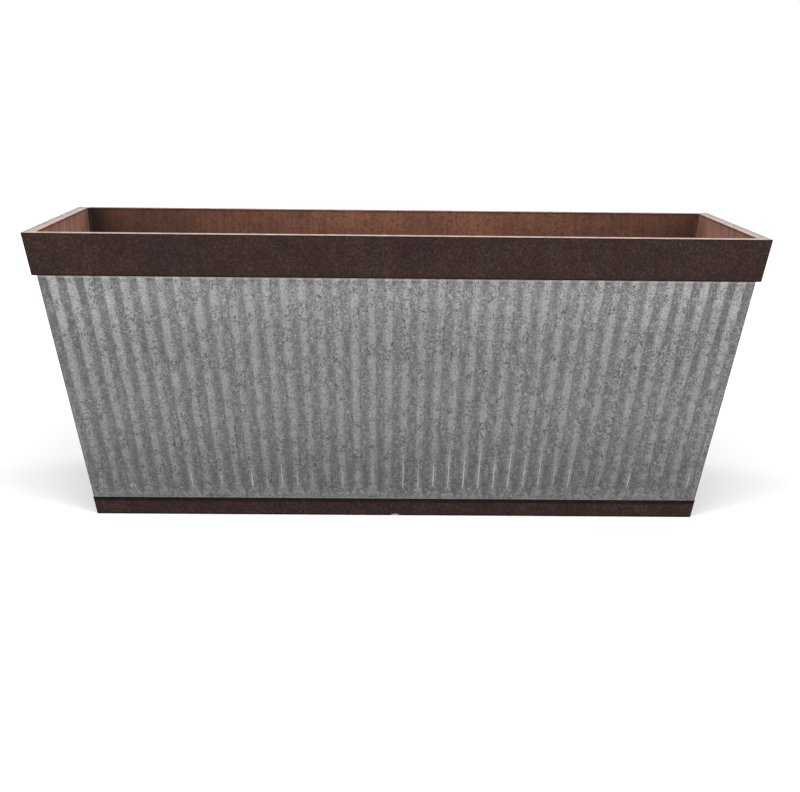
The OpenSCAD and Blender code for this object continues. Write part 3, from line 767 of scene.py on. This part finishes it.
class RibbedSheet:
    """A ribbed sheet as a grid of points: columns across the ribs, rows from the top down."""

    # Shares of the pitch: where a flank starts, its width at full depth, and the points across a crest
    valley_end = 0.16
    flank = 0.18
    crest_offsets = (-0.10, -0.05, -0.02, 0.0, 0.02, 0.05, 0.10)
    flank_steps = 5
    # Share of a flank's width that is left where a rib has run out
    flank_left = 0.25
    # Share of the depth that is rounded, and a valley's points as shares of valley_end and of that
    crown = 0.07
    valley_points = ((0.0, 0.5), (0.55, 0.3))
    # Rows of points: the heights where they draw closer, their counts, and how far they go on past the ribs
    row_heights = (0.09, 0.034)
    row_counts = (5, 8, 16)
    rows_below = 0.0064
    # How much the ribs differ in their start, their run-out and their depth
    start_spread = 0.0012
    runout_spread = (0.8, 1.5)
    depth_spread = (0.93, 1.0)
    # Share of a rib's run-out at which its crest ends
    crest_share = 0.6
    # Painted highlight lines on the crests, partly scratches: where along the sheet they are longest, over
    # what share, and their sizes
    line_middle = 0.655
    line_reach = 0.17
    line_top = 0.038
    line_spread = 0.014
    line_rise = 0.036
    line_half = 0.03
    # The two pale creases at the end of a rib, a painted highlight
    crease_height = 0.009
    crease_reach = 0.36
    crease_half = 0.07
    crease_loss = 0.6
    crease_levels = (0.05, 0.4)
    # The pale patch between the creases
    between_margin = 0.06
    between_border = 0.2
    between_tone = 0.85
    fades_at = 1.4
    # Painted side light: the stripes are crispest and strongest towards the upper corners
    side_light_power = 2.2
    side_light_start = 0.45
    side_light_span = 0.5
    # A corner strip is as dull as a valley at the top and paler lower down, with a dirty outer edge
    strip_tone = 0.15
    strip_gain = 0.65
    strip_pales_at = 0.17
    dirt_tone = -0.6
    dirt_share = 0.25
    inner_tone = 0.3
    # A slight unevenness of the sheet, with its waves in a metre along and up
    uneven = 0.00012
    waves = (9, 11)
    long_place = 3.7
    end_place = 8.1

    def __init__(self, long, turn, seed):
        s = sizes()
        self.long = long
        self.turn = Matrix.Rotation(turn, 4, "Z")
        self.ribs = s.ribs_long if long else s.ribs_end
        self.s = s
        self.edge = s.corner_strip / (2 * self.half_run(PANEL_HI.z))
        pick = random.Random(seed)
        strip_top = PANEL_LO.z + s.foot_strip
        spread = self.start_spread
        self.starts = [strip_top + pick.uniform(-spread, spread) for _ in range(self.ribs)]
        self.heights = [s.runout * pick.uniform(*self.runout_spread) for _ in range(self.ribs)]
        self.depths = [pick.uniform(*self.depth_spread) for _ in range(self.ribs)]
        self.line_tops, self.line_levels = [], []
        for rib in range(self.ribs):
            # The painted highlight lines are longest and brightest a little to the right of the middle
            off = ((rib + 0.5) / self.ribs - self.line_middle) / self.line_reach
            middle = math.exp(-(off ** 2))
            top = self.line_top + pick.uniform(0.0, self.line_spread)
            self.line_tops.append(top + self.line_rise * middle * pick.uniform(0.4, 1.0))
            near = min(1.0, 1.4 * middle)
            bright = pick.uniform(0.5, 1.0) * near + pick.uniform(-1.0, 0.9) * (1 - near)
            self.line_levels.append(max(0.0, bright))
        self.crease_brights = [pick.uniform(*self.crease_levels) for _ in range(self.ribs)]
        self.rows = self.make_rows(strip_top)

    def half_run(self, z):
        """From the middle of the sheet to its edge, at height z."""
        return (half_l(z) if self.long else half_w(z)) - self.s.valley_inset - self.s.seam / 2

    def away(self, z):
        """From the planter's middle out to the valleys, at height z."""
        return (half_w(z) if self.long else half_l(z)) - self.s.valley_inset

    def make_rows(self, strip_top):
        """Heights of the rows, which draw closer where the ribs run out."""
        ends = (PANEL_HI.z, *self.row_heights, strip_top - self.rows_below)
        rows = [PANEL_HI.z]
        for top, end, count in zip(ends, ends[1:], self.row_counts):
            rows += [top - (top - end) * i / count for i in range(1, count + 1)]
        return rows + [PANEL_LO.z]

    def fade(self, rib, z):
        """Share of the depth that a rib keeps at height z."""
        return smooth((z - self.starts[rib]) / self.heights[rib])

    def rib_columns(self, rib, z):
        """(share of the pitch, height, painted highlight) of each point across one rib, at height z."""
        left = self.fade(rib, z)
        top = self.depths[rib] * left
        lo = self.valley_end
        hi = lo + self.flank * (self.flank_left + (1 - self.flank_left) * left)
        points = [(lo * share, -self.crown * sunk * left, 0) for share, sunk in self.valley_points]
        body = top * (1 - self.crown)
        for i in range(self.flank_steps + 1):
            t = i / self.flank_steps
            points.append((lo + (hi - lo) * t, body * smooth(t), 0))
        reach = 0.5 - hi
        for offset in self.crest_offsets:
            across = min(abs(offset) / reach, 1)
            line = self.rib_highlight(rib, z) * max(0.0, 1 - abs(offset) / self.line_half)
            points.append((0.5 + offset, body + top * self.crown * (1 - across * across), line))
        before_crest = points[1:-len(self.crest_offsets)]
        points += [(1 - share, height, line) for share, height, line in reversed(before_crest)]
        return [(share, height, max(line, self.crease(rib, share, z))) for share, height, line in points]

    def crest_end(self, rib):
        """Height at which a rib's crest ends."""
        return self.starts[rib] + self.crest_share * self.heights[rib]

    def past_end(self, rib, z):
        """How far z lies below the end of a rib's crest, as a share of the height that its creases take."""
        return (self.crest_end(rib) - z) / self.crease_height

    def crease(self, rib, share, z):
        """How bright the two pale creases are that spread from the end of a rib, as a painted highlight."""
        down = self.past_end(rib, z)
        if down < 0 or down > 1:
            return 0.0
        off = abs(abs(share - 0.5) - self.crease_reach * down)
        across = max(0.0, 1 - off / self.crease_half)
        return self.crease_brights[rib] * across * (1 - self.crease_loss * down)

    def tone(self, rib, share, z):
        """How pale a point is: the crest, which widens between the two creases as the rib runs out."""
        wave = 0.5 - 0.5 * math.cos(2 * math.pi * share)
        down = self.past_end(rib, z)
        if down <= 0:
            return wave
        reach = self.crease_reach * down + self.between_margin
        inside = smooth(0.5 + (reach - abs(share - 0.5)) / self.between_border)
        spread = max(wave, self.between_tone * inside)
        return 0.5 + (spread - 0.5) * smooth(self.fades_at - down)

    def rib_highlight(self, rib, z):
        """How bright the painted highlight line on a rib's crest, partly a scratch, is at height z."""
        overlap, steepness = 0.001, 1.4
        top = self.line_tops[rib]
        end = self.crest_end(rib)
        if z > top or z < end - overlap:
            return 0.0
        return self.line_levels[rib] * smooth(steepness * (top - z) / (top - end))

    def row(self, z):
        """Every point of one row as (share of the width, height, tone, painted side light, painted
        highlight).
        """
        # Painted side light grows towards the top and towards both ends of the sheet
        upper = smooth(z / PANEL_HI.z) ** self.side_light_power
        strip = self.strip_tone + self.strip_gain * smooth(1 - z / self.strip_pales_at)
        dirty = self.dirt_share * self.edge
        points = [(0.0, 0.0, self.dirt_tone, upper, 0.0), (dirty, 0.0, strip, upper, 0.0)]
        for rib in range(self.ribs):
            for share, height, line in self.rib_columns(rib, z):
                u = self.edge + (rib + share) * (1 - 2 * self.edge) / self.ribs
                outer = smooth((abs(2 * u - 1) - self.side_light_start) / self.side_light_span)
                points.append((u, height, self.tone(rib, share, z), outer * upper, line))
        for u, tone in ((1 - self.edge, strip), (1 - dirty, strip), (1.0, self.dirt_tone)):
            points.append((u, 0.0, tone, upper, 0.0))
        return points

    def point(self, z, u, height, inner):
        """Where a point of the outer or the inner face lies, in the planter's frame."""
        s = self.s
        inset = s.sheet if inner and u in (0.0, 1.0) else 0.0
        x = (2 * u - 1) * (self.half_run(z) - inset)
        along, up = self.waves
        place_in_noise = self.long_place if self.long else self.end_place
        wave = self.uneven * noise.noise(Vector((x * along, z * up, place_in_noise)))
        y = -(self.away(z) + s.rib_depth * height + wave - (s.sheet if inner else 0.0))
        return self.turn @ Vector((x, y, z))

    def mesh(self, name):
        """The sheet's mesh: both faces, the edges between them, and what the finish reads."""
        rows = [(z, self.row(z)) for z in self.rows]
        across = len(rows[0][1])
        down = len(rows)
        verts, reliefs, painted_side_lights, lines = [], [], [], []
        for inner in (False, True):
            for z, row in rows:
                for u, height, tone, painted_side_light, line in row:
                    verts.append(self.point(z, u, height, inner))
                    reliefs.append(self.inner_tone if inner else tone)
                    painted_side_lights.append(0.0 if inner else painted_side_light)
                    lines.append(0.0 if inner else line)
        side = across * down
        faces = []
        for r in range(down - 1):
            for c in range(across - 1):
                a = r * across + c
                b = a + across
                faces.append((a, b, b + 1, a + 1))
                faces.append((side + a, side + a + 1, side + b + 1, side + b))
        for c in range(across - 1):
            a, b = c, (down - 1) * across + c
            faces.append((a, a + 1, side + a + 1, side + a))
            faces.append((b, side + b, side + b + 1, b + 1))
        for r in range(down - 1):
            a, b = r * across, r * across + across - 1
            faces.append((a, side + a, side + a + across, a + across))
            faces.append((b, b + across, side + b + across, side + b))
        mesh = bpy.data.meshes.new(name)
        mesh.from_pydata(verts, [], faces)
        for label, values in (("relief", reliefs), ("painted_side_light", painted_side_lights), ("rib_highlight", lines)):
            layer = mesh.attributes.new(label, "FLOAT", "POINT")
            layer.data.foreach_set("value", values)
        mesh.shade_smooth()
        mesh.set_sharp_from_angle(angle=SHEET_SMOOTH_BELOW)
        return mesh


def cut_channel(piece):
    """Cuts the rail channel's mouth out of an end sheet."""
    longer_than_planter = 2
    s = sizes()
    bm = bmesh.new()
    bmesh.ops.create_cube(bm, size=1)
    size = (longer_than_planter, 2 * s.channel_half, 2 * s.channel_top)
    bmesh.ops.scale(bm, vec=size, verts=bm.verts)
    mesh = bpy.data.meshes.new("channel_cut")
    bm.to_mesh(mesh)
    bm.free()
    cutter = new_object("channel_cut", mesh)
    modifier = piece.modifiers.new("Channel", "BOOLEAN")
    modifier.object = cutter
    modifier.solver = "EXACT"
    cut = bpy.data.meshes.new_from_object(piece.evaluated_get(bpy.context.evaluated_depsgraph_get()))
    piece.modifiers.clear()
    piece.data = cut
    bpy.data.objects.remove(cutter)


class PLANTER_OT_ribbed_sheets(Operator):
    """The four ribbed sheets, with every rib rounded and run out at the foot"""
    bl_idname = "planter.ribbed_sheets"
    bl_label = "Ribbed sheets"

    def execute(self, context):
        sheets = (
            ("front", True, 0), ("rear", True, math.pi),
            ("left_end", False, -math.pi / 2), ("right_end", False, math.pi / 2),
        )
        for index, (side, long, turn) in enumerate(sheets):
            sheet = RibbedSheet(long, turn, SEED + index)
            piece = new_object(side + "_ribbed_sheet", sheet.mesh(side + "_ribbed_sheet"))
            if not long:
                cut_channel(piece)
            dress(piece, "galvanised_sheet", side + "_panel")
        return {"FINISHED"}


class PLANTER_OT_bands(Operator):
    """The rim band and the two foot bands, with their long edges rounded"""
    bl_idname = "planter.bands"
    bl_label = "Rim and foot bands"

    def execute(self, context):
        width = sizes().band_edge
        bm = merged_copy("rim_band")
        round_edges(bm, width / 2, 2, at_height(HEIGHT))
        round_edges(bm, width, 3, at_height(RIM_LO.z))
        rim = finished_piece(bm, "rim_band_piece", "rim_band", "umber_band")
        self.mark_inside(rim.data)
        for side in ("front", "rear"):
            bm = merged_copy(side + "_foot_band")
            round_edges(bm, width, 3, at_height(0))
            round_edges(bm, width / 3, 2, at_height(FOOT_BAND_TOP))
            finished_piece(bm, side + "_foot_band_piece", side + "_foot_band", "umber_band")
        return {"FINISHED"}

    def mark_inside(self, mesh):
        """Marks the faces of the rim that look inwards at the plants, which are as brown as the tub."""
        turned_in, upright, above_catches = -0.1, 0.5, RIM_LO.z + 0.03
        mark = mesh.attributes.new("inside", "FLOAT", "FACE")
        for face in mesh.polygons:
            outwards = Vector((face.center.x / RIM_HI.x, face.center.y / RIM_HI.y, 0))
            inwards = face.normal.dot(outwards) < turned_in and abs(face.normal.z) < upright
            mark.data[face.index].value = 1.0 if inwards and face.center.z > above_catches else 0.0


class PLANTER_OT_tub(Operator):
    """The planting tub with its rail channel, troughs and bosses"""
    bl_idname = "planter.tub"
    bl_label = "Planting tub"

    def execute(self, context):
        gap_over_channel = 0.0002
        s = sizes()
        bm = merged_copy("planting_tub")
        round_edges(bm, s.resin_edge, 3, at_height(s.channel_top - gap_over_channel))
        finished_piece(bm, "planting_tub_piece", "planting_tub", "tub_resin")
        return {"FINISHED"}


class PLANTER_OT_fittings(Operator):
    """Brackets, screws, rail pads and drain plugs"""
    bl_idname = "planter.fittings"
    bl_label = "Fittings"

    def execute(self, context):
        s = sizes()
        for cad_node in sorted(frame["nodes"]):
            if cad_node.startswith("rail_bracket"):
                self.make(cad_node, s.steel_edge, "zinc_steel")
            elif cad_node.startswith("drain_plug") or cad_node.endswith("pad"):
                self.make(cad_node, s.rubber_edge, "rubber")
            elif cad_node.endswith("screws"):
                data = frame["nodes"][cad_node].data
                data.materials.clear()
                data.materials.append(material("zinc_steel"))
        return {"FINISHED"}

    def make(self, cad_node, width, slot):
        bm = merged_copy(cad_node)
        round_edges(bm, width, 2, any_edge)
        finished_piece(bm, cad_node + "_piece", cad_node, slot)


class PLANTER_OT_stage(Operator):
    """Floor, sky, lamps and the camera"""
    bl_idname = "planter.stage"
    bl_label = "Stage"

    # Where the photograph was taken from: place, then pitch below the horizon, turn and roll
    camera_place = (-0.0213, -1.3636, 0.3664)
    camera_pitch = math.radians(11.751)
    camera_turn = math.radians(-1.11)
    camera_roll = math.radians(0.672)
    focal_pixels = 1529.6
    photo_width = 800
    # Lamps at the corners of a rectangle round the planter, and one above its front
    lamp_x, lamp_y, lamp_z = 1.6, 1.5, 1.0
    lamp_size = (1.2, 1.2)
    top_lamp_place = (0.0, -1.0, 1.6)
    top_lamp_size = (1.6, 1.0)
    # The floor, and where and how strongly it glows to the camera
    floor_half = 12
    glow_span = (0.4, 3.0)
    glow = (0.15, 0.75)

    def execute(self, context):
        self.make_floor(context)
        self.make_sky(context)
        settings = context.scene.planter_stage
        for name, y, power in (
            ("side_lamp", -self.lamp_y, settings.side_lamp), ("rear_lamp", self.lamp_y, settings.rear_lamp),
        ):
            for hand, x in (("_left", -self.lamp_x), ("_right", self.lamp_x)):
                self.make_lamp(name + hand, (x, y, self.lamp_z), self.lamp_size, power)
        self.make_lamp("top_lamp", self.top_lamp_place, self.top_lamp_size, settings.top_lamp)
        self.make_camera(context)
        context.scene.view_settings.view_transform = "Standard"
        return {"FINISHED"}

    def make_floor(self, context):
        bm = bmesh.new()
        bmesh.ops.create_grid(bm, x_segments=1, y_segments=1, size=self.floor_half)
        mesh = bpy.data.meshes.new("floor")
        bm.to_mesh(mesh)
        bm.free()
        floor = new_object("floor", mesh)
        made = bpy.data.materials.new("floor")
        tree = bare_tree(made)
        where = object_place(tree)
        away = node(tree, "ShaderNodeVectorMath", {0: where}, operation="LENGTH").outputs["Value"]
        seen = tree.nodes.new("ShaderNodeLightPath").outputs["Is Camera Ray"]
        glow = times(tree, ramp(tree, away, self.glow_span, self.glow), seen)
        shader = node(
            tree, "ShaderNodeBsdfPrincipled",
            {"Base Color": context.scene.planter_stage.floor, "Roughness": 0.9, "Specular IOR Level": 0.0,
             "Emission Color": (1.0, 1.0, 1.0), "Emission Strength": glow},
        )
        behind = tree.nodes.new("ShaderNodeNewGeometry").outputs["Backfacing"]
        clear = tree.nodes.new("ShaderNodeBsdfTransparent")
        both = node(tree, "ShaderNodeMixShader", {0: behind, 1: shader.outputs[0], 2: clear.outputs[0]})
        tree.links.new(both.outputs[0], tree.nodes.new("ShaderNodeOutputMaterial").inputs["Surface"])
        mesh.materials.append(made)

    def make_sky(self, context):
        world = bpy.data.worlds.new("sky")
        context.scene.world = world
        tree = bare_tree(world)
        path = tree.nodes.new("ShaderNodeLightPath").outputs
        seen = math_node(tree, "MAXIMUM", path["Is Camera Ray"], path["Is Glossy Ray"])
        sky = context.scene.planter_stage.sky
        strength = node(
            tree, "ShaderNodeMapRange", {"Value": seen, "To Min": sky, "To Max": 1.0}
        ).outputs["Result"]
        light = node(tree, "ShaderNodeBackground", {"Color": (1.0, 1.0, 1.0), "Strength": strength})
        tree.links.new(light.outputs[0], tree.nodes.new("ShaderNodeOutputWorld").inputs["Surface"])

    def make_lamp(self, name, place, size, power):
        data = bpy.data.lights.new(name, "AREA")
        data.shape = "RECTANGLE"
        data.size, data.size_y = size
        data.energy = power
        lamp = new_object(name, data)
        lamp.location = place
        aim = Vector((0, 0, HEIGHT / 2)) - Vector(place)
        lamp.rotation_euler = aim.to_track_quat("-Z", "Y").to_euler()

    def make_camera(self, context):
        data = bpy.data.cameras.new("camera")
        data.sensor_fit = "HORIZONTAL"
        data.lens = self.focal_pixels * data.sensor_width / self.photo_width
        camera = new_object("camera", data)
        turn = Matrix.Rotation(self.camera_turn, 4, "Z")
        pitch = Matrix.Rotation(math.pi / 2 - self.camera_pitch, 4, "X")
        roll = Matrix.Rotation(self.camera_roll, 4, "Z")
        camera.matrix_world = Matrix.Translation(self.camera_place) @ turn @ pitch @ roll
        context.scene.camera = camera


class PLANTER_PT_sidebar(Panel):
    """Lists the planter's pieces in the sidebar"""
    bl_label = "Deck rail planter"
    bl_idname = "PLANTER_PT_sidebar"
    bl_space_type = "VIEW_3D"
    bl_region_type = "UI"
    bl_category = "Planter"

    def draw(self, context):
        for operator in OPERATORS:
            self.layout.operator(operator.bl_idname)
        scene = context.scene
        for group in (scene.planter_sizes, scene.planter_colours, scene.planter_stage):
            for key in group.__annotations__:
                self.layout.prop(group, key)


OPERATORS = (
    PLANTER_OT_stage, PLANTER_OT_ribbed_sheets, PLANTER_OT_bands, PLANTER_OT_tub, PLANTER_OT_fittings,
)
GROUP_CLASSES = (PlanterSizes, PlanterColours, StageSettings)


def register():
    for cls in (*GROUP_CLASSES, *OPERATORS, PLANTER_PT_sidebar):
        bpy.utils.register_class(cls)
    bpy.types.Scene.planter_sizes = PointerProperty(type=PlanterSizes)
    bpy.types.Scene.planter_colours = PointerProperty(type=PlanterColours)
    bpy.types.Scene.planter_stage = PointerProperty(type=StageSettings)


def unregister():
    del bpy.types.Scene.planter_stage
    del bpy.types.Scene.planter_colours
    del bpy.types.Scene.planter_sizes
    for cls in reversed((*GROUP_CLASSES, *OPERATORS, PLANTER_PT_sidebar)):
        bpy.utils.unregister_class(cls)


def main():
    register()
    bpy.ops.planter.stage()
    bpy.ops.planter.ribbed_sheets()
    bpy.ops.planter.bands()
    bpy.ops.planter.tub()
    bpy.ops.planter.fittings()
    bpy.context.view_layer.update()


if __name__ == "__main__":
    main()
